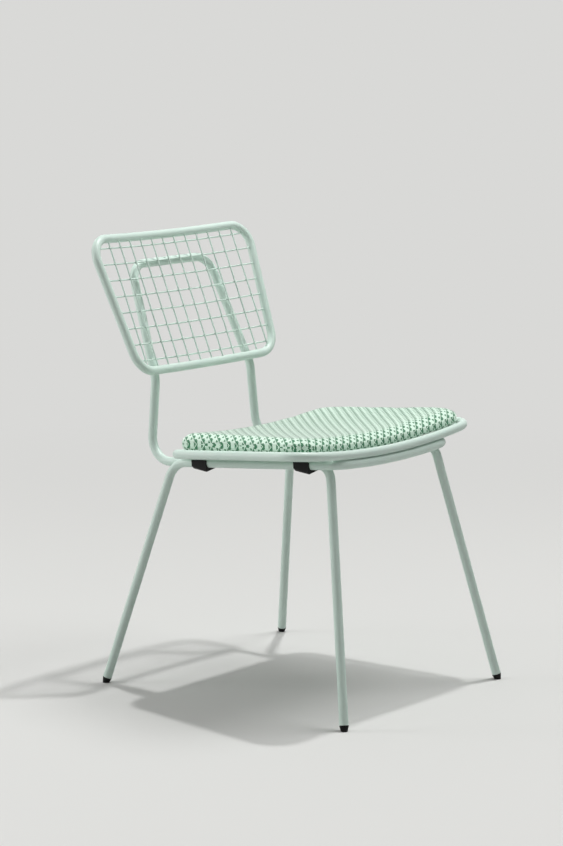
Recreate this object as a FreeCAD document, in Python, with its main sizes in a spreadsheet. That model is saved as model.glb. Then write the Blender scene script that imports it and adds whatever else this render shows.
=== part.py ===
import FreeCAD, Part
import Sketcher
import math
import os

from FreeCAD import Placement, Rotation, Vector

# Stacking side chair of bent steel tube with a wire mesh seat, a wire mesh backrest and a loose seat cushion.
# X runs across the chair, the front faces -Y and Z is up. The origin is on the floor at the middle of the plan.

SIZES = [
    ("tube_diameter", 16.0),
    ("tube_wall", 1.5),
    ("rim_diameter", 16.0),
    ("rim_wall", 1.5),
    ("wire_diameter", 3.0),
    ("joint_gap", 0.1),
    ("mesh_pitch", 30.5),
    ("seat_centre_y", -63.6),
    ("seat_centre_z", 431.4),
    ("seat_tilt", 5.7),
    ("seat_bend_radius", 1650.0),
    ("seat_depth", 334.5),
    ("seat_front_width", 488.0),
    ("seat_rear_width", 423.0),
    ("seat_front_corner", 45.0),
    ("seat_rear_corner", 38.0),
    ("seat_long_wires", 14),
    ("seat_cross_wires", 10),
    ("back_centre_y", 253.1),
    ("back_centre_z", 674.3),
    ("back_tilt", 23.2),
    ("back_bend_radius", 1600.0),
    ("back_height", 252.0),
    ("back_top_width", 430.5),
    ("back_bottom_width", 374.5),
    ("back_top_corner", 40.0),
    ("back_bottom_corner", 42.0),
    ("back_mesh_rise", 0.95),
    ("back_mesh_lead", 2.5),
    ("back_upright_wires", 12),
    ("back_cross_wires", 8),
    ("inner_rail_x", 148.0),
    ("front_foot_x", 224.5),
    ("front_foot_y", -302.0),
    ("rear_foot_x", 249.0),
    ("rear_foot_y", 229.0),
    ("front_leg_gap", 6.8),
    ("front_elbow_radius", 30.0),
    ("front_bar_corner", 35.0),
    ("rear_elbow_overhang", 33.9),
    ("rear_elbow_radius", 38.0),
    ("upright_overhang", 104.3),
    ("upright_bend_radius", 44.0),
    ("hoop_bend_drop", 12.5),
    ("hoop_bend_radius", 60.0),
    ("hoop_bend_width", 263.0),
    ("hoop_top_width", 210.0),
    ("hoop_corner_radius", 38.0),
    ("hoop_rim_gap", 0.5),
    ("hoop_wire_row", 2),
    ("foot_height", 10.0),
    ("foot_base_radius", 5.0),
    ("foot_collar", 1.6),
    ("foot_stem_length", 18.0),
    ("foot_stem_clearance", 0.2),
    ("saddle_length", 33.0),
    ("saddle_wall", 2.6),
    ("saddle_lip_rise", 0.8),
    ("saddle_clearance", 0.15),
    ("saddle_front_depth", 6.2),
    ("saddle_rear_depth", 1.0),
    ("saddle_front_bevel", 1.5),
    ("saddle_rear_bevel", 5.0),
    ("saddle_wall_height", 7.0),
    ("rear_saddle_setback", 34.0),
    ("cushion_clearance", 0.5),
    ("cushion_thickness", 28.0),
    ("cushion_edge_radius", 9.0),
    ("cushion_cover", 1.2),
    ("cushion_rest_gap", 0.3),
]

ROUGH_SIZE = 10.0  # of a sketch before its constraints pull it into place

doc = FreeCAD.newDocument("wire_mesh_chair")
sheet = doc.addObject("Spreadsheet::Sheet", "sizes")
aliases = []
nodes = []


def keep_size(alias, number):
    # Each size has a row of its own in the sheet: its name, then its number
    aliases.append(alias)
    row = len(aliases)
    sheet.set(f"A{row}", alias)
    sheet.set(f"B{row}", str(number))
    sheet.setAlias(f"B{row}", alias)


def size(alias):
    return float(sheet.get(alias))


def add_node(feature, label):
    feature.Label = label
    nodes.append(feature)
    return feature


def seat_placement():
    place = Vector(0, size("seat_centre_y"), size("seat_centre_z"))
    return Placement(place, Rotation(Vector(1, 0, 0), -size("seat_tilt")))


def back_placement():
    place = Vector(0, size("back_centre_y"), size("back_centre_z"))
    return Placement(place, Rotation(Vector(1, 0, 0), 90 - size("back_tilt")))


def sag(radius, across):
    # Rise of a sheet bent to this radius, at this distance from its middle line
    return radius - math.sqrt(radius * radius - across * across)


def mirrored(points):
    return [Vector(-p.x, p.y, p.z) for p in reversed(points)]


def bend_edges(points, radii):
    # Straight runs joined by tangent arcs, one radius for each inner point
    edges = []
    start = points[0]
    for i, radius in enumerate(radii, start=1):
        before = (points[i - 1] - points[i]).normalize()
        after = (points[i + 1] - points[i]).normalize()
        half_angle = before.getAngle(after) / 2
        reach = radius / math.tan(half_angle)
        middle_way = (before + after).normalize()
        enter = points[i] + before * reach
        leave = points[i] + after * reach
        centre = points[i] + middle_way * (radius / math.sin(half_angle))
        crown = centre - middle_way * radius
        if (enter - start).Length > 1e-4:
            edges.append(Part.LineSegment(start, enter).toShape())
        edges.append(Part.Arc(enter, crown, leave).toShape())
        start = leave
    if (points[-1] - start).Length > 1e-4:
        edges.append(Part.LineSegment(start, points[-1]).toShape())
    return edges


def curved_bar_corner(bend_radius, half_width, station, drop, turn, corner_radius):
    # A bar follows the bent sheet, then its tangent runs on to the corner point where the side begins
    reach = corner_radius * math.tan(math.radians(turn) / 2)
    bar_radius = bend_radius + drop
    end_across = half_width - reach
    for _ in range(8):  # the slope where the bar ends and the place of that end settle together
        slope = math.asin(end_across / bar_radius)
        end_across = half_width - reach * math.cos(slope)
    end = Vector(end_across, station, sag(bar_radius, end_across) - drop)
    corner = end + Vector(math.cos(slope), 0, math.sin(slope)) * reach
    return end, corner, Vector(0, station, -drop)


def corner_radius_for(end, corner, beyond):
    before = end - corner
    after = beyond - corner
    return before.Length * math.tan(before.getAngle(after) / 2)


def rim_wire(bend_radius, near_station, near_width, near_corner, far_station, far_width, far_corner):
    # Closed outline of a panel that is wider at its near end, wrapped on the bent sheet
    taper = math.degrees(math.atan2((near_width - far_width) / 2, abs(far_station - near_station)))
    near_end, near_point, near_middle = curved_bar_corner(
        bend_radius, near_width / 2, near_station, 0, 90 + taper, near_corner
    )
    far_end, far_point, far_middle = curved_bar_corner(
        bend_radius, far_width / 2, far_station, 0, 90 - taper, far_corner
    )
    side = [near_end, near_point, far_point, far_end]
    radii = [corner_radius_for(near_end, near_point, far_point), corner_radius_for(far_end, far_point, near_point)]
    near_bar = Part.Arc(mirrored([near_end])[0], near_middle, near_end).toShape()
    far_bar = Part.Arc(far_end, far_middle, mirrored([far_end])[0]).toShape()
    right = bend_edges(side, radii)
    left = bend_edges(mirrored(side), list(reversed(radii)))
    return Part.Wire([near_bar] + right + [far_bar] + left)


def path_feature(name, wire, placement=None):
    spine = doc.addObject("Part::Feature", name)
    spine.Shape = wire
    if placement:
        spine.Placement = placement
    return spine


def round_sweep(name, spine, radius_expression):
    # A round bar swept along the spine, from a circle set square to its first edge
    profile = doc.addObject("Part::Circle", name + "_section")
    profile.setExpression("Radius", radius_expression)
    first = spine.Shape.Edges[0]
    start = first.valueAt(first.FirstParameter)
    heading = first.tangentAt(first.FirstParameter)
    profile.Placement = Placement(start, Rotation(Vector(0, 0, 1), heading))
    sweep = doc.addObject("Part::Sweep", name)
    sweep.Sections = [profile]
    sweep.Spine = (spine, [f"Edge{i + 1}" for i in range(len(spine.Shape.Edges))])
    sweep.Solid = True
    sweep.Frenet = False
    return sweep


def hollow_tube(label, spine, diameter, wall):
    outside = round_sweep(label + "_outside", spine, f"sizes.{diameter} / 2")
    bore = round_sweep(label + "_bore", spine, f"sizes.{diameter} / 2 - sizes.{wall}")
    tube = doc.addObject("Part::Cut", label)
    tube.Base = outside
    tube.Tool = bore
    return add_node(tube, label)


def seat_point(across, station, height):
    return seat_placement().multVec(Vector(across, station, height))


def back_point(across, station, height):
    return back_placement().multVec(Vector(across, station, height))


def rail_drop():
    # The rails and the front bar carry the seat rim from below
    return size("rim_diameter") / 2 + size("tube_diameter") / 2 + size("joint_gap")


def rail_height(across):
    return sag(size("seat_bend_radius"), across) - rail_drop()


def outer_rail_x():
    return size("inner_rail_x") + size("tube_diameter") + size("joint_gap")


def tube_end(foot, elbow):
    # The tube stops above the floor, where its foot begins
    return foot + (elbow - foot).normalize() * size("foot_height")


def front_foot():
    return Vector(size("front_foot_x"), size("front_foot_y"), 0)


def rear_foot():
    return Vector(size("rear_foot_x"), size("rear_foot_y"), 0)


def front_elbow_station():
    # The front leg turns down behind the front bar
    return size("tube_diameter") + size("front_leg_gap") - size("seat_depth") / 2


def front_elbow():
    return seat_point(size("inner_rail_x"), front_elbow_station(), rail_height(size("inner_rail_x")))


def front_bar_run():
    # End of the front bar's arc, its corner point with the outer rail, and its middle
    station = -size("seat_depth") / 2
    return curved_bar_corner(
        size("seat_bend_radius"), outer_rail_x(), station, rail_drop(), 90, size("front_bar_corner")
    )


def outer_rail_height():
    return front_bar_run()[1].z


def rear_elbow():
    station = size("seat_depth") / 2 + size("rear_elbow_overhang")
    return seat_point(outer_rail_x(), station, outer_rail_height())


def back_mesh_station(row, rows):
    # Rows count from the top of the backrest
    return ((rows - 1) / 2 - (row - 1)) * size("mesh_pitch") + size("back_mesh_rise")


def mesh_half_thickness():
    # The two layers of wire meet in the middle of the mesh
    return size("wire_diameter") + size("joint_gap") / 2


def hoop_height():
    # The hoop's top bar lies against the back of a cross wire
    mesh_back = size("back_mesh_lead") - mesh_half_thickness()
    return mesh_back - size("joint_gap") - size("tube_diameter") / 2


def hoop_foot_height():
    # Lower down, its uprights lie against the back of the backrest's bottom rim
    rise = sag(size("back_bend_radius"), size("hoop_bend_width") / 2)
    return rise - size("rim_diameter") / 2 - size("tube_diameter") / 2 - size("hoop_rim_gap")


def make_hoop_tube():
    # One tube: front leg, inner rail, upright and half the hoop, and back down the other side
    rail_x = size("inner_rail_x")
    elbow = front_elbow()
    upright_station = size("seat_depth") / 2 + size("upright_overhang")
    upright_foot = seat_point(rail_x, upright_station, rail_height(rail_x))
    bend_station = -size("back_height") / 2 - size("hoop_bend_drop")
    bend = back_point(size("hoop_bend_width") / 2, bend_station, hoop_foot_height())
    top_station = back_mesh_station(size("hoop_wire_row"), size("back_cross_wires"))
    top = back_point(size("hoop_top_width") / 2, top_station, hoop_height())
    half = [tube_end(front_foot(), elbow), elbow, upright_foot, bend, top]
    radii = [
        size("front_elbow_radius"),
        size("upright_bend_radius"),
        size("hoop_bend_radius"),
        size("hoop_corner_radius"),
    ]
    wire = Part.Wire(bend_edges(half + mirrored(half), radii + list(reversed(radii))))
    spine = path_feature("hoop_tube_path", wire)
    return hollow_tube("front_leg_hoop_tube", spine, "tube_diameter", "tube_wall")


def make_rear_leg_tube():
    # One tube: rear leg, outer rail, bowed front bar, and back down the other side
    placement = seat_placement()
    end, corner, middle = [placement.multVec(point) for point in front_bar_run()]
    elbow = rear_elbow()
    half = [end, corner, elbow, tube_end(rear_foot(), elbow)]
    radii = [corner_radius_for(end, corner, elbow), size("rear_elbow_radius")]
    bar = Part.Arc(mirrored([end])[0], middle, end).toShape()
    right = bend_edges(half, radii)
    left = bend_edges(mirrored(half), list(reversed(radii)))
    wire = Part.Wire(left + [bar] + right)
    spine = path_feature("rear_leg_tube_path", wire)
    return hollow_tube("rear_leg_tube", spine, "tube_diameter", "tube_wall")


def make_rim(label, placement, bend_radius, near, far):
    wire = rim_wire(bend_radius, *near, *far)
    spine = path_feature(label + "_path", wire, placement)
    return hollow_tube(label, spine, "rim_diameter", "rim_wall")


def inset_end(end, other, inset):
    # The same end of a tapered outline, drawn in all round by the inset
    station, width, corner = end
    inward = 1 if other[0] > station else -1
    slope = (width - other[1]) / 2 / abs(other[0] - station)
    pulled = width / 2 - inset * slope - inset * math.sqrt(1 + slope * slope)
    return station + inward * inset, 2 * pulled, corner - inset


def corner_arc(end, other):
    # Centre of this end's rounded corner across the panel, and how much the side widens towards this end
    station, width, corner = end
    slope = (width - other[1]) / 2 / abs(station - other[0])
    return width / 2 - corner * (slope + math.sqrt(1 + slope * slope)), slope


def half_width_at(station, near, far):
    share = (station - near[0]) / (far[0] - near[0])
    width = (near[1] + (far[1] - near[1]) * share) / 2
    for end, other in ((near, far), (far, near)):
        centre, slope = corner_arc(end, other)
        corner = end[2]
        past = corner - abs(end[0] - station)
        if past > -corner * slope / math.sqrt(1 + slope * slope):
            width = centre + math.sqrt(corner * corner - past * past)
    return width


def end_station_at(across, end, other):
    station, _, corner = end
    past = across - corner_arc(end, other)[0]
    if past <= 0:
        return station
    return station - math.copysign(corner - math.sqrt(corner * corner - past * past), station)


def straight_wire(label, placement, across, height, near, far):
    # A wire along the panel, between the two bars of its rim
    edge = abs(across) + size("wire_diameter") / 2
    first, last = sorted((end_station_at(edge, near, far), end_station_at(edge, far, near)))
    rod = doc.addObject("Part::Cylinder", label)
    rod.setExpression("Radius", "sizes.wire_diameter / 2")
    rod.Height = last - first
    start = Vector(across, first, height)
    rod.Placement = placement.multiply(Placement(start, Rotation(Vector(1, 0, 0), -90)))
    return add_node(rod, label)


def bent_wire(label, placement, station, bend_radius, height, near, far):
    # A wire across the panel, bent to the sheet's radius, between the two sides of its rim
    edges = [station + side * size("wire_diameter") / 2 for side in (-1, 1)]
    half_width = min(half_width_at(edge, near, far) for edge in edges)
    ring = doc.addObject("Part::Torus", label)
    ring.Radius1 = bend_radius - height
    ring.setExpression("Radius2", "sizes.wire_diameter / 2")
    half_angle = math.degrees(math.asin(half_width / ring.Radius1.Value))
    ring.Angle3 = 2 * half_angle
    turned = Rotation(Vector(1, 0, 0), 90).multiply(Rotation(Vector(0, 0, 1), -90 - half_angle))
    ring.Placement = placement.multiply(Placement(Vector(0, station, bend_radius), turned))
    return add_node(ring, label)


def wire_limits(near, far, height):
    # The rim's outline drawn in to where a wire at this height above its middle line meets the tube
    nearest = max(abs(height) - size("wire_diameter") / 2, 0)
    inset = math.sqrt((size("rim_diameter") / 2) ** 2 - nearest ** 2) + size("joint_gap")
    return inset_end(near, far, inset), inset_end(far, near, inset)


def make_mesh(names, placement, bend_radius, near, far, long_count, cross_stations, lead=0.0):
    # Long wires lie on the side that is sat on or leaned on, cross wires touch them from the other side.
    # The lead is how far the mesh lies in front of the rim's middle line.
    long_name, cross_name = names
    lift = mesh_half_thickness() - size("wire_diameter") / 2
    long_limits = wire_limits(near, far, lead + lift)
    cross_limits = wire_limits(near, far, lead - lift)
    for i in range(long_count):
        across = (i - (long_count - 1) / 2) * size("mesh_pitch")
        height = sag(bend_radius, across) + lead + lift
        straight_wire(f"{long_name}_{i + 1:02d}", placement, across, height, *long_limits)
    for i, station in enumerate(cross_stations):
        bent_wire(f"{cross_name}_{i + 1:02d}", placement, station, bend_radius, lead - lift, *cross_limits)


def make_seat():
    placement = seat_placement()
    half_depth = size("seat_depth") / 2
    near = (-half_depth, size("seat_front_width"), size("seat_front_corner"))
    far = (half_depth, size("seat_rear_width"), size("seat_rear_corner"))
    bend_radius = size("seat_bend_radius")
    make_rim("seat_rim", placement, bend_radius, near, far)
    count = int(size("seat_cross_wires"))
    stations = [(i - (count - 1) / 2) * size("mesh_pitch") for i in range(count)]
    names = ("seat_long_wire", "seat_cross_wire")
    make_mesh(names, placement, bend_radius, near, far, int(size("seat_long_wires")), stations)


def make_back():
    placement = back_placement()
    half_height = size("back_height") / 2
    near = (half_height, size("back_top_width"), size("back_top_corner"))
    far = (-half_height, size("back_bottom_width"), size("back_bottom_corner"))
    bend_radius = size("back_bend_radius")
    make_rim("back_rim", placement, bend_radius, near, far)
    count = int(size("back_cross_wires"))
    stations = [back_mesh_station(row, count) for row in range(1, count + 1)]
    names = ("back_upright_wire", "back_cross_wire")
    long_count = int(size("back_upright_wires"))
    make_mesh(names, placement, bend_radius, near, far, long_count, stations, size("back_mesh_lead"))


def origin_plane(body, role):
    for feature in body.Origin.OriginFeatures:
        if feature.Role == role:
            return feature
    raise ValueError(role)


def polygon_sketch(body, name, role, corners, offset=None):
    # Each corner is a pair of expressions, measured from the sketch origin
    sketch = body.newObject("Sketcher::SketchObject", name)
    sketch.AttachmentSupport = [(origin_plane(body, role), "")]
    sketch.MapMode = "FlatFace"
    if offset:
        sketch.setExpression(".AttachmentOffset.Base.z", offset)
    count = len(corners)
    turn = 2 * math.pi / count
    loose = [Vector(math.cos(i * turn), math.sin(i * turn), 0) * ROUGH_SIZE for i in range(count)]
    for i in range(count):
        sketch.addGeometry(Part.LineSegment(loose[i], loose[(i + 1) % count]), False)
    for i in range(count):
        sketch.addConstraint(Sketcher.Constraint("Coincident", i, 2, (i + 1) % count, 1))
    for i, (across, up) in enumerate(corners):
        hold(sketch, "DistanceX", i, 1, loose[i].x, across)
        hold(sketch, "DistanceY", i, 1, loose[i].y, up)
    return sketch


def hold(sketch, kind, edge, point, start_value, expression):
    # Distance of one point from the sketch origin, bound to its expression
    index = sketch.addConstraint(Sketcher.Constraint(kind, -1, 1, edge, point, start_value))
    sketch.setExpression(f"Constraints[{index}]", expression)


def circle_sketch(body, name, role, across, up, radius):
    sketch = body.newObject("Sketcher::SketchObject", name)
    sketch.AttachmentSupport = [(origin_plane(body, role), "")]
    sketch.MapMode = "FlatFace"
    centre = Vector(ROUGH_SIZE, ROUGH_SIZE, 0)
    sketch.addGeometry(Part.Circle(centre, Vector(0, 0, 1), ROUGH_SIZE), False)
    hold(sketch, "DistanceX", 0, 3, centre.x, across)
    hold(sketch, "DistanceY", 0, 3, centre.y, up)
    index = sketch.addConstraint(Sketcher.Constraint("Radius", 0, ROUGH_SIZE))
    sketch.setExpression(f"Constraints[{index}]", radius)
    return sketch


def mirrored_node(source, label):
    # The left-hand twin of a right-hand piece
    twin = doc.addObject("Part::Mirroring", label)
    twin.Source = source
    twin.Base = Vector(0, 0, 0)
    twin.Normal = Vector(1, 0, 0)
    return add_node(twin, label)


def make_foot(name, foot, elbow):
    # A turned plug: tapered foot below the tube end, stem inside the bore, cut flat on the floor
    body = doc.addObject("PartDesign::Body", name + "_plug")
    below = "-2 * sizes.foot_collar"
    shoulder = "sizes.foot_height - sizes.foot_collar"
    stem_top = "sizes.foot_height + sizes.foot_stem_length"
    stem_radius = "sizes.tube_diameter / 2 - sizes.tube_wall - sizes.foot_stem_clearance"
    outline = [
        ("0", below),
        ("sizes.foot_base_radius", below),
        ("sizes.tube_diameter / 2", shoulder),
        ("sizes.tube_diameter / 2", "sizes.foot_height"),
        (stem_radius, "sizes.foot_height"),
        (stem_radius, stem_top),
        ("0", stem_top),
    ]
    sketch = polygon_sketch(body, name + "_outline", "XZ_Plane", outline)
    turned = body.newObject("PartDesign::Revolution", name + "_turned")
    turned.Profile = sketch
    turned.ReferenceAxis = (sketch, ["V_Axis"])
    turned.Angle = 360
    body.Placement = Placement(foot, Rotation(Vector(0, 0, 1), elbow - foot))
    floor = doc.addObject("Part::Box", name + "_floor")
    for side in ("Length", "Width", "Height"):
        floor.setExpression(side, "4 * sizes.tube_diameter")
    doc.recompute()
    block = floor.Length.Value
    floor.Placement.Base = foot - Vector(block / 2, block / 2, block)
    cut = doc.addObject("Part::Cut", name + "_right")
    cut.Base = body
    cut.Tool = floor
    add_node(cut, name + "_right")
    mirrored_node(cut, name + "_left")


def front_saddle_station():
    # The front saddle ends where the inner rail begins to turn down into the front leg
    elbow = front_elbow()
    back = seat_point(size("inner_rail_x"), 0, rail_height(size("inner_rail_x"))) - elbow
    leg = front_foot() - elbow
    tangent = size("front_elbow_radius") / math.tan(back.getAngle(leg) / 2)
    return front_elbow_station() + tangent + size("saddle_length") / 2


def rear_saddle_station():
    return size("seat_depth") / 2 - size("rear_saddle_setback")


def make_saddle(name, station):
    # A moulded wedge under both rails, drawn from the inner rail's middle line: shallow at its rear end,
    # deep at its front end, thin under the inner rail, with a wall standing up outside the outer rail
    spacing = "(sizes.tube_diameter + sizes.joint_gap)"
    rise = "sizes.outer_rail_rise"
    channel = "(sizes.tube_diameter / 2 + sizes.saddle_clearance)"
    outside = f"{spacing} + {channel} + sizes.saddle_wall"
    body = doc.addObject("PartDesign::Body", name + "_right")
    sections = []
    for end, offset in (("rear", None), ("front", "sizes.saddle_length")):
        bottom = f"{rise} - {channel} - sizes.saddle_{end}_depth"
        bevel = f"sizes.saddle_{end}_bevel"
        corners = [
            (outside, f"{rise} + sizes.saddle_wall_height"),
            (outside, f"{bottom} + {bevel}"),
            (f"{outside} - {bevel}", bottom),
            ("sizes.saddle_wall / 2", f"-{channel} - sizes.saddle_wall / 2"),
            ("-sizes.saddle_wall", f"-{channel} + sizes.saddle_lip_rise"),
            ("0", "0"),
            (spacing, rise),
        ]
        sections.append(polygon_sketch(body, f"{name}_{end}_outline", "XZ_Plane", corners, offset))
    wedge = body.newObject("PartDesign::AdditiveLoft", name + "_wedge")
    wedge.Profile = sections[0]
    wedge.Sections = [sections[1]]
    wedge.Ruled = True
    for rail, across, up in (("inner", "0", "0"), ("outer", spacing, rise)):
        circle = circle_sketch(body, f"{name}_{rail}_circle", "XZ_Plane", across, up, channel)
        seat = body.newObject("PartDesign::Pocket", f"{name}_{rail}_seat")
        seat.Profile = circle
        seat.Type = "ThroughAll"
        seat.SideType = "Symmetric"
        body.Tip = seat
    inner_x = size("inner_rail_x")
    start = station + size("saddle_length") / 2
    body.Placement = seat_placement().multiply(Placement(Vector(inner_x, start, rail_height(inner_x)), Rotation()))
    add_node(body, name + "_right")
    mirrored_node(body, name + "_left")


def round_upright_corners(body, base, name, front, radius):
    # The two upright edges furthest to the front, or to the back, are rounded off
    uprights = []
    for i, edge in enumerate(base.Shape.Edges, start=1):
        ends = [v.Point for v in edge.Vertexes]
        upright = (ends[-1] - ends[0]).cross(Vector(0, 0, 1)).Length < 1e-6
        if upright and (ends[0].y < 0) == front:
            uprights.append((abs(ends[0].y), f"Edge{i}"))
    furthest = max(y for y, _ in uprights)
    rounded = body.newObject("PartDesign::Fillet", name)
    rounded.Base = (base, [label for y, label in uprights if y > furthest - 1e-6])
    rounded.setExpression("Radius", radius)
    body.Tip = rounded
    doc.recompute()
    return rounded


def cushion_block(name, inset, depth):
    # A pad inside the seat rim, bent to the seat and rounded all round, drawn in from the cushion's own
    # surface by the inset. The depth is that inset again, as a number.
    slope = "((sizes.seat_front_width - sizes.seat_rear_width) / (2 * sizes.seat_depth))"
    inner = f"(sizes.rim_diameter / 2 + sizes.cushion_clearance + {inset})"
    front_x = f"(sizes.seat_front_width / 2 - {inner} * ({slope} + sqrt(1 + {slope} ^ 2)))"
    rear_x = f"(sizes.seat_rear_width / 2 + {inner} * ({slope} - sqrt(1 + {slope} ^ 2)))"
    end_y = f"(sizes.seat_depth / 2 - {inner})"
    body = doc.addObject("PartDesign::Body", name + "_blank")
    corners = [
        (f"-{front_x}", f"-{end_y}"),
        (front_x, f"-{end_y}"),
        (rear_x, end_y),
        (f"-{rear_x}", end_y),
    ]
    sketch = polygon_sketch(body, name + "_plan", "XY_Plane", corners)
    pad = body.newObject("PartDesign::Pad", name + "_pad")
    pad.Profile = sketch
    pad.setExpression("Length", "4 * sizes.cushion_thickness")
    doc.recompute()
    front = round_upright_corners(body, pad, name + "_front_corners", True, f"sizes.seat_front_corner - {inner}")
    round_upright_corners(body, front, name + "_rear_corners", False, f"sizes.seat_rear_corner - {inner}")
    placement = seat_placement()
    body.Placement = placement.multiply(Placement(Vector(0, 0, -size("cushion_thickness")), Rotation()))
    bottom = f"(sizes.wire_diameter + sizes.joint_gap / 2 + sizes.cushion_rest_gap + {inset})"
    skins = []
    under_radius = f"sizes.seat_bend_radius - {bottom}"
    upper_radius = f"{under_radius} - (sizes.cushion_thickness - 2 * {inset})"
    for skin, radius in (("under", under_radius), ("upper", upper_radius)):
        roller = doc.addObject("Part::Cylinder", f"{name}_{skin}_roller")
        roller.setExpression("Radius", radius)
        roller.setExpression("Height", "2 * sizes.seat_depth")
        along = Placement(Vector(0, -size("seat_depth"), size("seat_bend_radius")), Rotation(Vector(1, 0, 0), -90))
        roller.Placement = placement.multiply(along)
        skins.append(roller)
    under = doc.addObject("Part::Common", name + "_underside")
    under.Base = body
    under.Tool = skins[0]
    slab = doc.addObject("Part::Cut", name + "_slab")
    slab.Base = under
    slab.Tool = skins[1]
    doc.recompute()
    radius = size("cushion_edge_radius") - depth
    inside = placement.inverse()
    rim_edges = []
    for i, edge in enumerate(slab.Shape.Edges, start=1):
        ends = [inside.multVec(v.Point) for v in edge.Vertexes]
        if (ends[-1] - ends[0]).cross(Vector(0, 0, 1)).Length > 1e-3:
            rim_edges.append(i)
    soft = doc.addObject("Part::Fillet", name + "_rounded")
    soft.Base = slab
    soft.Edges = [(i, radius, radius) for i in rim_edges]
    return soft


def make_cushion():
    # A sewn cover as a thin closed shell, with the foam pad inside it
    cover_depth = size("cushion_cover")
    foam_depth = size("cushion_cover") + size("cushion_rest_gap")
    outside = cushion_block("cushion_outside", "0", 0)
    lining = cushion_block("cushion_lining", "sizes.cushion_cover", cover_depth)
    foam = cushion_block("cushion_foam", "(sizes.cushion_cover + sizes.cushion_rest_gap)", foam_depth)
    cover = doc.addObject("Part::Cut", "cushion_cover")
    cover.Base = outside
    cover.Tool = lining
    add_node(cover, "cushion_cover")
    add_node(foam, "cushion_foam")


def check_document():
    for feature in doc.Objects:
        if "Invalid" in feature.State or "Error" in feature.State:
            raise RuntimeError(f"{feature.Name} did not build: {feature.State}")
    for node in nodes:
        shape = node.Shape
        if shape.isNull() or not shape.isValid():
            raise RuntimeError(f"{node.Label} has no valid shape")
        if len(shape.Solids) != 1:
            raise RuntimeError(f"{node.Label} has {len(shape.Solids)} solids")


def write_parts():
    os.makedirs("parts", exist_ok=True)
    for node in nodes:
        node.Shape.exportStep(f"parts/{node.Label}.step")


for alias, number in SIZES:
    keep_size(alias, number)
doc.recompute()
make_hoop_tube()
make_rear_leg_tube()
make_seat()
make_back()
make_foot("front_foot", front_foot(), front_elbow())
make_foot("rear_foot", rear_foot(), rear_elbow())
keep_size("outer_rail_rise", outer_rail_height() - rail_height(size("inner_rail_x")))
doc.recompute()
make_saddle("rear_stacking_saddle", rear_saddle_station())
make_saddle("front_stacking_saddle", front_saddle_station())
make_cushion()
doc.recompute()
check_document()
write_parts()
print(f"{len(nodes)} nodes written")
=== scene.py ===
import math

import bpy
import numpy as np
from mathutils import Matrix, Vector


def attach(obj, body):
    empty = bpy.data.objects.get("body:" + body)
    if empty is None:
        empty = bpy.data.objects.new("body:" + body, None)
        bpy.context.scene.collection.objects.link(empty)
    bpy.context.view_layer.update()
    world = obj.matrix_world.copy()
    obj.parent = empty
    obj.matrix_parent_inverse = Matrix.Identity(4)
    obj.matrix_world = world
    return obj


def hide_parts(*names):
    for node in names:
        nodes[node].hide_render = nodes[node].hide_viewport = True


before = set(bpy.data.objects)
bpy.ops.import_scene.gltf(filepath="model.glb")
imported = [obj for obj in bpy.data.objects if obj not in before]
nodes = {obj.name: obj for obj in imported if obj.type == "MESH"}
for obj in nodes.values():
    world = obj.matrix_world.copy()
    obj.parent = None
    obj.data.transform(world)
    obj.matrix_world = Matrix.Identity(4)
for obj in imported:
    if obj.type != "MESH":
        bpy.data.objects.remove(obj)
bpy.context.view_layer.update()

scene = bpy.context.scene


def say(text):
    print("chair:", text)


# Small helpers for node trees


def newMaterial(name):
    material = bpy.data.materials.new(name)
    material.use_nodes = True
    tree = material.node_tree
    tree.nodes.clear()
    output = tree.nodes.new("ShaderNodeOutputMaterial")
    shader = tree.nodes.new("ShaderNodeBsdfPrincipled")
    tree.links.new(shader.outputs["BSDF"], output.inputs["Surface"])
    return material, tree, shader


def newGroup(name, inputs, outputs):
    # inputs and outputs are (name, socket type, default or None)
    tree = bpy.data.node_groups.new(name, "ShaderNodeTree")
    for label, kind, value in inputs:
        socket = tree.interface.new_socket(name=label, in_out="INPUT", socket_type=kind)
        if value is not None:
            socket.default_value = value
    for label, kind in outputs:
        tree.interface.new_socket(name=label, in_out="OUTPUT", socket_type=kind)
    start = tree.nodes.new("NodeGroupInput")
    end = tree.nodes.new("NodeGroupOutput")
    return tree, start.outputs, end.inputs


def feed(tree, socket, value):
    # A socket takes either another node's output or a plain value
    if isinstance(value, bpy.types.NodeSocket):
        tree.links.new(value, socket)
    elif value is not None:
        socket.default_value = value


def maths(tree, operation, first, second=None, third=None):
    node = tree.nodes.new("ShaderNodeMath")
    node.operation = operation
    for socket, value in zip(node.inputs, (first, second, third)):
        feed(tree, socket, value)
    return node.outputs[0]


def noise(tree, vector, scale, detail=2.0, roughness=0.5):
    node = tree.nodes.new("ShaderNodeTexNoise")
    feed(tree, node.inputs["Vector"], vector)
    feed(tree, node.inputs["Scale"], scale)
    node.inputs["Detail"].default_value = detail
    node.inputs["Roughness"].default_value = roughness
    return node.outputs["Fac"]


def mixColour(tree, share, first, second):
    node = tree.nodes.new("ShaderNodeMix")
    node.data_type = "RGBA"
    feed(tree, node.inputs["Factor"], share)
    feed(tree, node.inputs["A"], first)
    feed(tree, node.inputs["B"], second)
    return node.outputs["Result"]


def remap(tree, value, fromLow, fromHigh, toLow, toHigh):
    node = tree.nodes.new("ShaderNodeMapRange")
    feed(tree, node.inputs["Value"], value)
    node.inputs["From Min"].default_value = fromLow
    node.inputs["From Max"].default_value = fromHigh
    node.inputs["To Min"].default_value = toLow
    node.inputs["To Max"].default_value = toHigh
    return node.outputs["Result"]


def bump(tree, height, distance, strength=1.0):
    node = tree.nodes.new("ShaderNodeBump")
    node.inputs["Strength"].default_value = strength
    node.inputs["Distance"].default_value = distance
    feed(tree, node.inputs["Height"], height)
    return node.outputs["Normal"]


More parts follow.
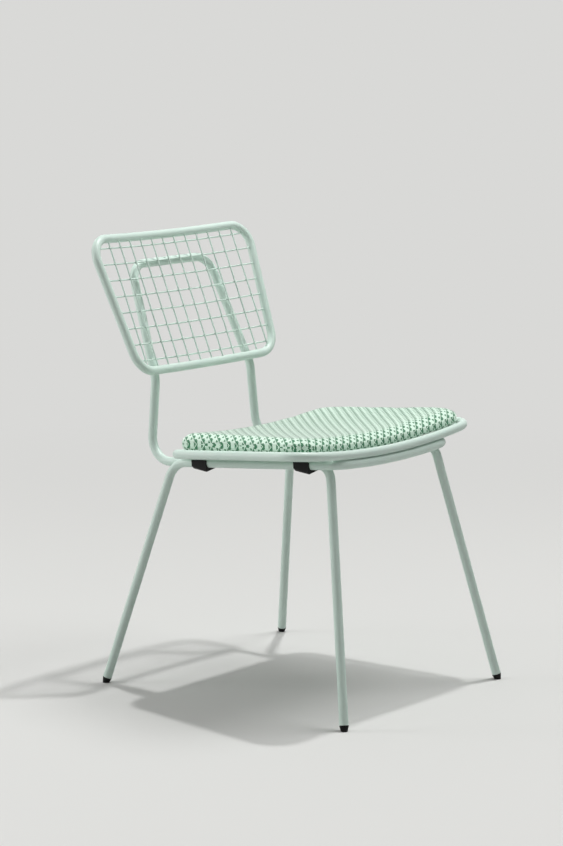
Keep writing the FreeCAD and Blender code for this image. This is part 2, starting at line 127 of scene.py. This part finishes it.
def dotWith(tree, vector, way):
    node = tree.nodes.new("ShaderNodeVectorMath")
    node.operation = "DOT_PRODUCT"
    feed(tree, node.inputs[0], vector)
    node.inputs[1].default_value = way
    return node.outputs["Value"]


def useGroup(tree, group, **values):
    node = tree.nodes.new("ShaderNodeGroup")
    node.node_tree = group
    for label, value in values.items():
        feed(tree, node.inputs[label.replace("_", " ")], value)
    return node.outputs


def objectPoint(tree):
    return tree.nodes.new("ShaderNodeTexCoord").outputs["Object"]


# Powder coat: a satin baked film with fine orange peel and faint cloudiness


powderLook = {
    "colour": (0.68, 0.815, 0.745, 1),
    "cloudColour": (0.66, 0.805, 0.735, 1),
    "cloudsPerMetre": 14.0,
    "roughness": 0.36,
    "unevenness": 0.05,
    "patchesPerMetre": 60.0,
    "specular": 0.45,
    "peelPerMetre": 620.0,
    "wirePeelPerMetre": 930.0,
    "peelDepth": 0.00002,
    "grainShare": 0.25,
}


def powderSurfaceGroup():
    inputs = [
        ("Colour", "NodeSocketColor", (0.6, 0.7, 0.65, 1)),
        ("Cloud Colour", "NodeSocketColor", (0.6, 0.7, 0.65, 1)),
        ("Peel Size", "NodeSocketFloat", 700.0),
        ("Base Roughness", "NodeSocketFloat", 0.4),
    ]
    outputs = [
        ("Colour", "NodeSocketColor"),
        ("Roughness", "NodeSocketFloat"),
        ("Height", "NodeSocketFloat"),
    ]
    tree, given, wanted = newGroup("powderSurface", inputs, outputs)
    point = objectPoint(tree)
    clouds = noise(tree, point, powderLook["cloudsPerMetre"], 3.0)
    share = remap(tree, clouds, 0.35, 0.65, 0.0, 1.0)
    tree.links.new(mixColour(tree, share, given["Colour"], given["Cloud Colour"]), wanted["Colour"])
    peel = noise(tree, point, given["Peel Size"], 1.0)
    grains = noise(tree, point, maths(tree, "MULTIPLY", given["Peel Size"], 4.0), 2.0)
    tree.links.new(maths(tree, "MULTIPLY_ADD", grains, powderLook["grainShare"], peel), wanted["Height"])
    patches = noise(tree, point, powderLook["patchesPerMetre"])
    uneven = remap(tree, patches, 0.3, 0.7, -powderLook["unevenness"], powderLook["unevenness"])
    tree.links.new(maths(tree, "ADD", given["Base Roughness"], uneven), wanted["Roughness"])
    return tree


def powderMaterial(name, group, peel):
    material, tree, shader = newMaterial(name)
    film = useGroup(
        tree,
        group,
        Colour=powderLook["colour"],
        Cloud_Colour=powderLook["cloudColour"],
        Peel_Size=peel,
        Base_Roughness=powderLook["roughness"],
    )
    feed(tree, shader.inputs["Base Color"], film["Colour"])
    feed(tree, shader.inputs["Roughness"], film["Roughness"])
    feed(tree, shader.inputs["Normal"], bump(tree, film["Height"], powderLook["peelDepth"]))
    shader.inputs["Specular IOR Level"].default_value = powderLook["specular"]
    return material


# Moulded black plastic: fine spark-eroded grain, scuffed a little


plasticLook = {
    "colour": (0.005, 0.005, 0.005, 1),
    "scuffColour": (0.03, 0.031, 0.03, 1),
    "scuffsPerMetre": 120.0,
    "footScuffs": 0.5,
    "saddleScuffs": 0.2,
    "roughness": 0.45,
    "scuffRoughness": 0.2,
    "specular": 0.2,
    "grainPerMetre": 2600.0,
    "grainDepth": 0.00003,
}


def mouldedSurfaceGroup():
    inputs = [
        ("Colour", "NodeSocketColor", (0.02, 0.02, 0.02, 1)),
        ("Scuff Colour", "NodeSocketColor", (0.08, 0.08, 0.08, 1)),
        ("Grain Size", "NodeSocketFloat", 2500.0),
        ("Scuffs", "NodeSocketFloat", 0.3),
    ]
    outputs = [
        ("Colour", "NodeSocketColor"),
        ("Roughness", "NodeSocketFloat"),
        ("Height", "NodeSocketFloat"),
    ]
    tree, given, wanted = newGroup("mouldedSurface", inputs, outputs)
    point = objectPoint(tree)
    grain = noise(tree, point, given["Grain Size"], 2.0)
    spread = noise(tree, point, plasticLook["scuffsPerMetre"], 4.0, 0.7)
    patches = remap(tree, spread, 0.52, 0.72, 0.0, 1.0)
    share = maths(tree, "MULTIPLY", patches, given["Scuffs"])
    tree.links.new(mixColour(tree, share, given["Colour"], given["Scuff Colour"]), wanted["Colour"])
    worn = maths(tree, "MULTIPLY_ADD", share, plasticLook["scuffRoughness"], plasticLook["roughness"])
    tree.links.new(worn, wanted["Roughness"])
    tree.links.new(grain, wanted["Height"])
    return tree


def plasticMaterial(name, group, scuffs):
    material, tree, shader = newMaterial(name)
    skin = useGroup(
        tree,
        group,
        Colour=plasticLook["colour"],
        Scuff_Colour=plasticLook["scuffColour"],
        Grain_Size=plasticLook["grainPerMetre"],
        Scuffs=scuffs,
    )
    feed(tree, shader.inputs["Base Color"], skin["Colour"])
    feed(tree, shader.inputs["Roughness"], skin["Roughness"])
    feed(tree, shader.inputs["Normal"], bump(tree, skin["Height"], plasticLook["grainDepth"]))
    shader.inputs["Specular IOR Level"].default_value = plasticLook["specular"]
    return material


# Cloth: a broken check on a two-and-two twill, in blocks of four dark and four pale threads


clothLook = {
    "dark": (0.030, 0.22, 0.095, 1),
    "pale": (0.80, 1.0, 0.86, 1),
    "thread": 0.00238,
    "blockThreads": 4.0,
    "twillThreads": 4.0,
    "darkSteps": 2.5,
    "wobblePerMetre": 160.0,
    "wobble": 0.0005,
    "fibresPerMetre": 2600.0,
    "fibreShare": 0.3,
    "paintedHollowShade": 0.86,
    "fleckColour": (0.75, 0.85, 0.78, 1),
    "fleckShare": 0.12,
    "roughness": 0.9,
    "specular": 0.2,
    "sheen": 1.0,
    "sheenRoughness": 0.35,
    "sheenTint": (0.93, 1.0, 0.95, 1),
    "yarnDepth": 0.00025,
    "yarnStrength": 0.5,
}


def brokenCheckGroup():
    inputs = [
        ("Weave Point", "NodeSocketVector", (0.0, 0.0, 0.0)),
        ("Dark", "NodeSocketColor", (0.02, 0.12, 0.06, 1)),
        ("Pale", "NodeSocketColor", (0.6, 0.8, 0.65, 1)),
        ("Thread", "NodeSocketFloat", 0.0023),
    ]
    outputs = [
        ("Colour", "NodeSocketColor"),
        ("Height", "NodeSocketFloat"),
    ]
    tree, given, wanted = newGroup("brokenCheck", inputs, outputs)
    wobble = tree.nodes.new("ShaderNodeTexNoise")
    wobble.inputs["Scale"].default_value = clothLook["wobblePerMetre"]
    wobble.inputs["Detail"].default_value = 1.0
    feed(tree, wobble.inputs["Vector"], given["Weave Point"])
    shifted = tree.nodes.new("ShaderNodeVectorMath")
    shifted.operation = "MULTIPLY_ADD"
    feed(tree, shifted.inputs[0], wobble.outputs["Color"])
    shifted.inputs[1].default_value = (clothLook["wobble"], clothLook["wobble"], 0.0)
    feed(tree, shifted.inputs[2], given["Weave Point"])
    parts = tree.nodes.new("ShaderNodeSeparateXYZ")
    feed(tree, parts.inputs[0], shifted.outputs[0])
    across = maths(tree, "DIVIDE", parts.outputs["X"], given["Thread"])
    along = maths(tree, "DIVIDE", parts.outputs["Y"], given["Thread"])
    warpCount = maths(tree, "FLOOR", across)
    weftCount = maths(tree, "FLOOR", along)
    offset = maths(tree, "SUBTRACT", warpCount, weftCount)
    step = maths(tree, "FLOORED_MODULO", offset, clothLook["twillThreads"])
    warpOnTop = maths(tree, "LESS_THAN", step, clothLook["twillThreads"] / 2)
    weftOnTop = maths(tree, "SUBTRACT", 1.0, warpOnTop)
    # Blocks of threads change colour by turns, and one pale step of the twill breaks each dark block
    blockAcross = maths(tree, "FLOOR", maths(tree, "DIVIDE", warpCount, clothLook["blockThreads"]))
    blockAlong = maths(tree, "FLOOR", maths(tree, "DIVIDE", weftCount, clothLook["blockThreads"]))
    turn = maths(tree, "FLOORED_MODULO", maths(tree, "ADD", blockAcross, blockAlong), 2.0)
    unbroken = maths(tree, "LESS_THAN", step, clothLook["darkSteps"])
    dark = maths(tree, "MULTIPLY", maths(tree, "LESS_THAN", turn, 0.5), unbroken)
    # Each float is a round yarn that dips under its neighbour at both ends
    warpRound = maths(tree, "PINGPONG", across, 0.5)
    weftRound = maths(tree, "PINGPONG", along, 0.5)
    warpCrown = maths(tree, "MULTIPLY", maths(tree, "MULTIPLY", warpRound, warpOnTop), 2.0)
    weftCrown = maths(tree, "MULTIPLY", maths(tree, "MULTIPLY", weftRound, weftOnTop), 2.0)
    crown = maths(tree, "ADD", warpCrown, weftCrown)
    height = maths(tree, "POWER", crown, 0.5)
    fibres = noise(tree, given["Weave Point"], clothLook["fibresPerMetre"])
    relief = maths(tree, "MULTIPLY_ADD", fibres, clothLook["fibreShare"], height)
    tree.links.new(relief, wanted["Height"])
    plain = mixColour(tree, dark, given["Pale"], given["Dark"])
    # Painted shade: the colour darkens towards black in the hollows between the raised yarns, where
    # shade falls
    paintedShadeShare = remap(tree, height, 0.0, 0.6, clothLook["paintedHollowShade"], 1.0)
    shade = mixColour(tree, paintedShadeShare, (0.0, 0.0, 0.0, 1), plain)
    fleck = remap(tree, fibres, 0.3, 0.7, 0.0, clothLook["fleckShare"])
    tree.links.new(mixColour(tree, fleck, shade, clothLook["fleckColour"]), wanted["Colour"])
    return tree


def clothMaterial(name, group):
    material, tree, shader = newMaterial(name)
    layout = tree.nodes.new("ShaderNodeUVMap")
    layout.uv_map = "weave"
    cloth = useGroup(
        tree,
        group,
        Weave_Point=layout.outputs["UV"],
        Dark=clothLook["dark"],
        Pale=clothLook["pale"],
        Thread=clothLook["thread"],
    )
    feed(tree, shader.inputs["Base Color"], cloth["Colour"])
    relief = bump(tree, cloth["Height"], clothLook["yarnDepth"], clothLook["yarnStrength"])
    feed(tree, shader.inputs["Normal"], relief)
    shader.inputs["Roughness"].default_value = clothLook["roughness"]
    shader.inputs["Sheen Weight"].default_value = clothLook["sheen"]
    shader.inputs["Sheen Roughness"].default_value = clothLook["sheenRoughness"]
    shader.inputs["Sheen Tint"].default_value = clothLook["sheenTint"]
    shader.inputs["Specular IOR Level"].default_value = clothLook["specular"]
    return material


# Seat cushion: top and bottom panels over a foam pad, joined by a seam at half height


seatFrame = {
    "centre": (0.0, -0.0636, 0.4314),
    "tilt": math.radians(5.7),
    "bendRadius": 1.65,
    "depth": 0.3345,
    "frontWidth": 0.488,
    "rearWidth": 0.423,
    "frontCorner": 0.045,
    "rearCorner": 0.038,
}

cushionShape = {
    "inset": 0.0052,
    "underside": 0.0034,
    "thickness": 0.0262,
    "edgeReach": 0.0185,
    "upperEdge": 1.1,
    "lowerEdge": 0.7,
    "gridAcross": 92,
    "gridAlong": 66,
    "edgeRows": 7,
    "arcSteps": 12,
    "crown": 0.003,
    "crownPower": 4,
    "rearRise": 0.004,
    "swell": 0.004,
    "seamPull": 0.0012,
}


def seatMatrix():
    tilt = Matrix.Rotation(-seatFrame["tilt"], 4, "X")
    return Matrix.Translation(Vector(seatFrame["centre"])) @ tilt


def seatRise(across):
    radius = seatFrame["bendRadius"]
    return radius - np.sqrt(radius * radius - across * across)


def planCorners(inset):
    # Corner points and radii of the seat's plan, drawn in all round by the inset
    halfDepth = seatFrame["depth"] / 2
    slope = (seatFrame["frontWidth"] - seatFrame["rearWidth"]) / 2 / seatFrame["depth"]
    lean = math.sqrt(1 + slope * slope)
    front = seatFrame["frontWidth"] / 2 - inset * (slope + lean)
    rear = seatFrame["rearWidth"] / 2 + inset * (slope - lean)
    end = halfDepth - inset
    corners = [(-front, -end), (front, -end), (rear, end), (-rear, end)]
    radii = [seatFrame["frontCorner"] - inset] * 2 + [seatFrame["rearCorner"] - inset] * 2
    return corners, radii


def roundedOutline(inset, countAcross, countAlong):
    # Closed run of points: front, right side, rear, left side, each with an even share of its length
    corners, radii = planCorners(inset)
    steps = cushionShape["arcSteps"]
    dense = []
    for i in range(4):
        here = Vector(corners[i])
        before = (Vector(corners[i - 1]) - here).normalized()
        after = (Vector(corners[(i + 1) % 4]) - here).normalized()
        half = before.angle(after) / 2
        centre = here + (before + after).normalized() * (radii[i] / math.sin(half))
        startWay = (here + before * (radii[i] / math.tan(half)) - centre).normalized()
        endWay = (here + after * (radii[i] / math.tan(half)) - centre).normalized()
        sweep = startWay.angle(endWay)
        for k in range(steps + 1):
            turn = sweep * k / steps
            way = Vector((startWay.x * math.cos(turn) - startWay.y * math.sin(turn),
                          startWay.x * math.sin(turn) + startWay.y * math.cos(turn)))
            dense.append(centre + way * radii[i])
    points = np.array(dense)
    middles = [steps // 2 + (steps + 1) * i for i in range(4)]
    run = []
    for side in range(4):
        first = middles[side]
        last = middles[(side + 1) % 4] + (len(points) if side == 3 else 0)
        part = points[[k % len(points) for k in range(first, last + 1)]]
        lengths = np.concatenate([[0], np.cumsum(np.linalg.norm(np.diff(part, axis=0), axis=1))])
        count = countAcross if side % 2 == 0 else countAlong
        marks = np.linspace(0, lengths[-1], count + 1)[:-1]
        run.append(np.stack([np.interp(marks, lengths, part[:, a]) for a in (0, 1)], axis=1))
    return run


def coonsGrid(run, countAcross, countAlong):
    # Fills the outline with an even grid, from its four sides
    front = np.vstack([run[0], run[1][:1]])
    right = np.vstack([run[1], run[2][:1]])
    rear = np.vstack([run[2], run[3][:1]])[::-1]
    left = np.vstack([run[3], run[0][:1]])[::-1]
    u = np.linspace(0, 1, countAcross + 1)[:, None, None]
    v = np.linspace(0, 1, countAlong + 1)[None, :, None]
    ruledUp = (1 - v) * front[:, None] + v * rear[:, None]
    ruledOver = (1 - u) * left[None] + u * right[None]
    corners = (
        (1 - u) * (1 - v) * front[0]
        + u * (1 - v) * front[-1]
        + (1 - u) * v * rear[0]
        + u * v * rear[-1]
    )
    return ruledUp + ruledOver - corners


def ringIndices(countAcross, countAlong):
    # The grid's boundary in the same order as the outline's run
    ring = [(i, 0) for i in range(countAcross)]
    ring += [(countAcross, j) for j in range(countAlong)]
    ring += [(countAcross - i, countAlong) for i in range(countAcross)]
    ring += [(0, countAlong - j) for j in range(countAlong)]
    return ring


def edgeProfile(side):
    # Way out, height and length over the cloth, for each row from the flat panel to the seam
    shape = cushionShape
    fullness = shape["upperEdge"] if side > 0 else shape["lowerEdge"]
    rows = []
    length = 0.0
    for k in range(shape["edgeRows"] + 1):
        turn = math.pi / 2 * k / shape["edgeRows"]
        out = shape["edgeReach"] * math.sin(turn) ** fullness
        height = side * shape["thickness"] / 2 * math.cos(turn)
        if rows:
            length += math.dist((out, height), rows[-1][:2])
        rows.append((out, height, length))
    return rows


def cushionMesh():
    # Plan grid for each panel, rounded edges and a seam row. The weave layout runs over the edges.
    shape = cushionShape
    across, along = shape["gridAcross"], shape["gridAlong"]
    half = shape["thickness"] / 2
    run = roundedOutline(shape["inset"] + shape["edgeReach"], across, along)
    grid = coonsGrid(run, across, along)
    ring = ringIndices(across, along)
    border = np.array([grid[i, j] for i, j in ring])
    ahead = np.roll(border, -1, axis=0) - np.roll(border, 1, axis=0)
    outward = np.stack([ahead[:, 1], -ahead[:, 0]], axis=1)
    outward /= np.linalg.norm(outward, axis=1)[:, None]
    count = len(ring)
    places, layout, faces = [], [], []
    lookup = {}
    for side in (1, -1):
        base = len(places)
        for i in range(across + 1):
            for j in range(along + 1):
                x, y = grid[i, j]
                lookup[side, i, j] = base + i * (along + 1) + j
                places.append((x, y, side * half))
                layout.append((x, y))
    rows = {}

    def addRow(out, height, length):
        first = len(places)
        for point, way in zip(border, outward):
            places.append((*(point + way * out), height))
            layout.append(tuple(point + way * length))
        return list(range(first, first + count))

    for side in (1, -1):
        rows[side, 0] = [lookup[side, i, j] for i, j in ring]
        for k, (out, height, length) in enumerate(edgeProfile(side)[1:-1], start=1):
            rows[side, k] = addRow(out, height, length)
    out, height, length = edgeProfile(1)[-1]
    seam = addRow(out, 0.0, length)
    for i in range(across):
        for j in range(along):
            square = [(i, j), (i + 1, j), (i + 1, j + 1), (i, j + 1)]
            faces.append([lookup[1, a, b] for a, b in square])
            faces.append([lookup[-1, a, b] for a, b in square[:1] + square[:0:-1]])
    for side in (1, -1):
        bands = [rows[side, k] for k in range(shape["edgeRows"])] + [seam]
        for upper, lower in zip(bands, bands[1:]):
            for a in range(count):
                b = (a + 1) % count
                quad = [upper[a], lower[a], lower[b], upper[b]]
                faces.append(quad if side == 1 else quad[::-1])
    return np.array(places), np.array(layout), faces, seam


def bendToSeat(places):
    # Lays a flat pad on the bent seat, in the row frame
    height = shapeMiddle() + seatRise(places[:, 0])
    lifted = np.column_stack([places[:, 0], places[:, 1], places[:, 2] + height])
    turned = np.array(seatMatrix())
    return lifted @ turned[:3, :3].T + turned[:3, 3]


def shapeMiddle():
    return cushionShape["underside"] + cushionShape["thickness"] / 2


def makeObject(name, places, faces, layout=None):
    mesh = bpy.data.meshes.new(name)
    mesh.from_pydata([tuple(p) for p in places], [], faces)
    if layout is not None:
        uv = mesh.uv_layers.new(name="weave")
        corners = np.array([v for face in faces for v in face])
        uv.data.foreach_set("uv", layout[corners].astype(np.float32).ravel())
    mesh.polygons.foreach_set("use_smooth", [True] * len(mesh.polygons))
    mesh.update()
    made = bpy.data.objects.new(name, mesh)
    scene.collection.objects.link(made)
    return made


puffRun = {
    "frames": 20,
    "pressure": 4.0,
    "quality": 6,
    "mass": 0.3,
    "stretchStiffness": 15.0,
    "bendStiffness": 0.6,
}


def swellPad(pad, flat):
    # A short pressure run puffs the flat pad. How far each point moves is then capped.
    cloth = pad.modifiers.new("puff", "CLOTH")
    cloth.settings.use_pressure = True
    cloth.settings.uniform_pressure_force = puffRun["pressure"]
    cloth.settings.effector_weights.gravity = 0.0
    cloth.settings.quality = puffRun["quality"]
    cloth.settings.mass = puffRun["mass"]
    cloth.settings.tension_stiffness = puffRun["stretchStiffness"]
    cloth.settings.compression_stiffness = puffRun["stretchStiffness"]
    cloth.settings.bending_stiffness = puffRun["bendStiffness"]
    cloth.point_cache.frame_start = 1
    cloth.point_cache.frame_end = puffRun["frames"]
    for number in range(1, puffRun["frames"] + 1):
        scene.frame_set(number)
    settled = pad.evaluated_get(bpy.context.evaluated_depsgraph_get())
    moved = np.array([v.co for v in settled.data.vertices])
    pad.modifiers.remove(cloth)
    scene.frame_set(1)
    step = moved - flat
    far = np.linalg.norm(step, axis=1)
    scale = np.minimum(1.0, cushionShape["swell"] / np.maximum(far, 1e-9))
    return flat + step * scale[:, None]


def makeCushion(material):
    shape = cushionShape
    flat, layout, faces, seam = cushionMesh()
    pad = makeObject("seatCushion", flat, faces, layout)
    puffed = swellPad(pad, flat)
    half = shape["thickness"] / 2
    # The top is a little fuller in the middle and towards the rear, and the underside lies on the wires
    reachAcross = flat[:, 0] / (seatFrame["frontWidth"] / 2)
    reachAlong = flat[:, 1] / (seatFrame["depth"] / 2)
    power = shape["crownPower"]
    fullness = np.clip(1 - reachAcross ** power, 0, 1) * np.clip(1 - reachAlong ** power, 0, 1)
    topShare = np.clip(flat[:, 2] / half, -1, 1) / 2 + 0.5
    puffed[:, 2] += topShare * (shape["crown"] * fullness + shape["rearRise"] * reachAlong)
    puffed[:, 2] = np.maximum(puffed[:, 2], -half)
    centre = puffed[seam].mean(axis=0)
    inward = centre[None, :2] - puffed[seam][:, :2]
    inward /= np.linalg.norm(inward, axis=1)[:, None]
    puffed[np.array(seam)[:, None], [0, 1]] += inward * shape["seamPull"]
    placed = bendToSeat(puffed)
    pad.data.vertices.foreach_set("co", placed.astype(np.float32).ravel())
    pad.data.update()
    pad.data.materials.append(material)
    smooth = pad.modifiers.new("fine", "SUBSURF")
    smooth.levels = 1
    smooth.render_levels = 1
    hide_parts("cushion_cover", "cushion_foam")
    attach(pad, "cushion")
    say("cushion made")
    return pad


# Room: one pale sweep, a small overhead lamp, two wide soft side lamps and a pale sky


roomLook = {
    "floorHalfWidth": 30.0,
    "floorRoughness": 0.95,
    "floorLevel": 0.645,
    "floorTint": (1.0, 1.0, 0.98),
    "backgroundColour": (0.694, 0.694, 0.680, 1),
    "fadeFrom": 1.3,
    "fadeTo": 2.8,
    "skyColour": (1.0, 1.0, 0.985, 1),
    "skyStrength": 0.42,
    "dimWay": (-0.77, -0.64, 0.0),
    "dimSpan": (0.5, 0.92),
    "dimShare": 0.12,
    "brightWay": (-0.3, 0.954, 0.0),
    "brightSpan": (-0.7, 1.0),
    "brightShares": (0.6, 1.7),
    "keyPower": 225.0,
    "keyPlace": (0.739, 0.1525, 3.876),
    "keyRadius": 0.09,
    "keyShare": 0.6,
    "softPower": 36.0,
    "softPlace": (1.08, -0.73, 3.2),
    "softWidth": 1.3,
    "sidePower": 30.0,
    "sidePlace": (-2.3, 2.75, 1.3),
    "sideWidth": 1.2,
    "lampAim": (0.0, 0.0, 0.4),
    "bounceShare": 0.8,
}


def paleSweepMaterial():
    material, tree, shader = newMaterial("paleSweep")
    shader.inputs["Roughness"].default_value = roomLook["floorRoughness"]
    shader.inputs["Specular IOR Level"].default_value = 0.0
    # The lamp falls off away from its foot, and the floor's colour rises as much to stay even
    place = tree.nodes.new("ShaderNodeTexCoord").outputs["Object"]
    away = tree.nodes.new("ShaderNodeVectorMath")
    away.operation = "DISTANCE"
    feed(tree, away.inputs[0], place)
    away.inputs[1].default_value = (roomLook["keyPlace"][0], roomLook["keyPlace"][1], 0.0)
    ratio = maths(tree, "DIVIDE", away.outputs["Value"], roomLook["keyPlace"][2])
    square = maths(tree, "MULTIPLY_ADD", ratio, ratio, 1.0)
    falloff = maths(tree, "POWER", square, -1.5)
    light = maths(tree, "MULTIPLY_ADD", falloff, roomLook["keyShare"], 1.0 - roomLook["keyShare"])
    seen = tree.nodes.new("ShaderNodeLightPath").outputs["Is Camera Ray"]
    bounced = roomLook["floorLevel"] * roomLook["bounceShare"]
    shown = remap(tree, seen, 0.0, 1.0, bounced, roomLook["floorLevel"])
    level = maths(tree, "DIVIDE", shown, light)
    colour = tree.nodes.new("ShaderNodeCombineColor")
    for socket, tint in zip(colour.inputs, roomLook["floorTint"]):
        feed(tree, socket, maths(tree, "MULTIPLY", level, tint))
    feed(tree, shader.inputs["Base Color"], colour.outputs["Color"])
    # Well away from the chair the camera sees the plain background colour
    reach = tree.nodes.new("ShaderNodeVectorMath")
    reach.operation = "LENGTH"
    feed(tree, reach.inputs[0], place)
    faded = remap(tree, reach.outputs["Value"], roomLook["fadeFrom"], roomLook["fadeTo"], 0.0, 1.0)
    plain = tree.nodes.new("ShaderNodeEmission")
    plain.inputs["Color"].default_value = roomLook["backgroundColour"]
    blend = tree.nodes.new("ShaderNodeMixShader")
    feed(tree, blend.inputs[0], maths(tree, "MULTIPLY", faded, seen))
    feed(tree, blend.inputs[1], shader.outputs["BSDF"])
    feed(tree, blend.inputs[2], plain.outputs["Emission"])
    feed(tree, tree.nodes["Material Output"].inputs["Surface"], blend.outputs["Shader"])
    return material


def makeFloor():
    size = roomLook["floorHalfWidth"]
    places = [(-size, -size, 0), (size, -size, 0), (size, size, 0), (-size, size, 0)]
    floor = makeObject("floorSweep", places, [(0, 1, 2, 3)])
    floor.data.materials.append(paleSweepMaterial())


def makeSky():
    world = bpy.data.worlds.new("studio")
    scene.world = world
    world.use_nodes = True
    links = world.node_tree
    back = links.nodes["Background"]
    back.inputs["Color"].default_value = roomLook["skyColour"]
    # The room is dim on one side and a little brighter on the next
    way = links.nodes.new("ShaderNodeTexCoord").outputs["Generated"]
    towardsDim = dotWith(links, way, roomLook["dimWay"])
    dim = remap(links, towardsDim, *roomLook["dimSpan"], 1.0, roomLook["dimShare"])
    towardsBright = dotWith(links, way, roomLook["brightWay"])
    bright = remap(links, towardsBright, *roomLook["brightSpan"], *roomLook["brightShares"])
    strength = maths(links, "MULTIPLY", maths(links, "MULTIPLY", dim, bright), roomLook["skyStrength"])
    feed(links, back.inputs["Strength"], strength)
    wall = links.nodes.new("ShaderNodeBackground")
    wall.inputs["Color"].default_value = roomLook["backgroundColour"]
    path = links.nodes.new("ShaderNodeLightPath")
    mix = links.nodes.new("ShaderNodeMixShader")
    links.links.new(path.outputs["Is Camera Ray"], mix.inputs[0])
    links.links.new(back.outputs[0], mix.inputs[1])
    links.links.new(wall.outputs[0], mix.inputs[2])
    links.links.new(mix.outputs[0], links.nodes["World Output"].inputs["Surface"])


def makeLamps():
    lamp = bpy.data.lights.new("keyLamp", "POINT")
    lamp.energy = roomLook["keyPower"]
    lamp.shadow_soft_size = roomLook["keyRadius"]
    key = bpy.data.objects.new("keyLamp", lamp)
    key.location = roomLook["keyPlace"]
    scene.collection.objects.link(key)
    for word in ("soft", "side"):
        panel = bpy.data.lights.new(word + "Lamp", "AREA")
        panel.shape = "DISK"
        panel.size = roomLook[word + "Width"]
        panel.energy = roomLook[word + "Power"]
        made = bpy.data.objects.new(word + "Lamp", panel)
        made.location = roomLook[word + "Place"]
        aim = Vector(roomLook["lampAim"]) - made.location
        made.rotation_euler = aim.to_track_quat("-Z", "Y").to_euler()
        scene.collection.objects.link(made)


def makeRoom():
    makeFloor()
    makeSky()
    makeLamps()
    say("room made")


# Camera at the photograph's viewing angle


cameraPlace = {
    "eye": (-3.6963, -3.0484, 1.2701),
    "target": (0.3330, 0.2994, 0.3929),
    "lens": 115.02,
    "sensor": 36.0,
    "farLimit": 200.0,
}


def makeCamera():
    data = bpy.data.cameras.new("view")
    data.lens = cameraPlace["lens"]
    data.sensor_width = cameraPlace["sensor"]
    data.sensor_fit = "AUTO"
    data.clip_end = cameraPlace["farLimit"]
    eye = Vector(cameraPlace["eye"])
    look = Vector(cameraPlace["target"]) - eye
    camera = bpy.data.objects.new("view", data)
    camera.location = eye
    camera.rotation_euler = look.to_track_quat("-Z", "Y").to_euler()
    scene.collection.objects.link(camera)
    scene.camera = camera
    say("camera made")


def coverNodes(material, *words):
    for name, node in nodes.items():
        if any(word in name for word in words):
            node.data.materials.clear()
            node.data.materials.append(material)


scene.view_settings.view_transform = "Standard"
powderGroup = powderSurfaceGroup()
mouldedGroup = mouldedSurfaceGroup()
checkGroup = brokenCheckGroup()
tubeCoat = powderMaterial("tubePowderCoat", powderGroup, powderLook["peelPerMetre"])
wireCoat = powderMaterial("wirePowderCoat", powderGroup, powderLook["wirePeelPerMetre"])
footPlastic = plasticMaterial("footPlastic", mouldedGroup, plasticLook["footScuffs"])
saddlePlastic = plasticMaterial("saddlePlastic", mouldedGroup, plasticLook["saddleScuffs"])
cushionCloth = clothMaterial("cushionCloth", checkGroup)
coverNodes(tubeCoat, "tube", "rim")
coverNodes(wireCoat, "wire")
coverNodes(footPlastic, "_foot_")
coverNodes(saddlePlastic, "saddle")
say("materials made")
makeCushion(cushionCloth)
makeRoom()
makeCamera()
